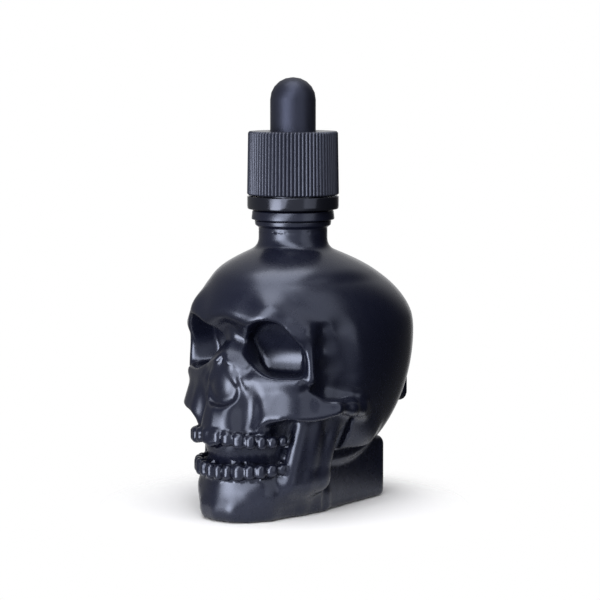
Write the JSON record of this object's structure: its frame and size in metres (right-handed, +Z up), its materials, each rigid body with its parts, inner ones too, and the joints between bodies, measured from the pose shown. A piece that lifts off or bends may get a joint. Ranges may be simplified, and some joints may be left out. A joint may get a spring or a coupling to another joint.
{
  "type": "skull dropper bottle",
  "caption": "Skull-shaped black glass bottle on a flat base, with a ribbed screw cap, a tamper band, a rubber bulb and a glass pipette.",
  "frame": {"origin": "where the axis of the neck meets the flat base", "axes": "+Z up along the neck, -Y toward the front of the face, +X toward the skull's left ear"},
  "size_m": [0.0476, 0.0635, 0.1033],
  "materials": {
    "black_glass": "black glass with a satin sheen",
    "band_plastic": "gloss black",
    "cap_plastic": "satin black",
    "bulb_rubber": "matt black",
    "clear_glass": "clear"
  },
  "bodies": {
    "bottle": {"skull_bottle": "black_glass"},
    "seal": {"tamper_band": "band_plastic"},
    "dropper": {"rubber_bulb": "bulb_rubber", "glass_pipette": "clear_glass"},
    "cap": {"dropper_cap": "cap_plastic"}
  },
  "joints": [
    {"name": "band_turn", "type": "hinge", "parent": "bottle", "child": "seal", "pos_m": [0, 0, 0.0735], "axis": [0, 0, 1], "continuous": true},
    {"name": "dropper_lift", "type": "slide", "parent": "bottle", "child": "dropper", "axis": [0, 0, 1], "range_m": [0, 0.08]},
    {"name": "cap_turn", "type": "hinge", "parent": "dropper", "child": "cap", "pos_m": [0, 0, 0.083], "axis": [0, 0, 1], "range_deg": [0, 540]}
  ]
}
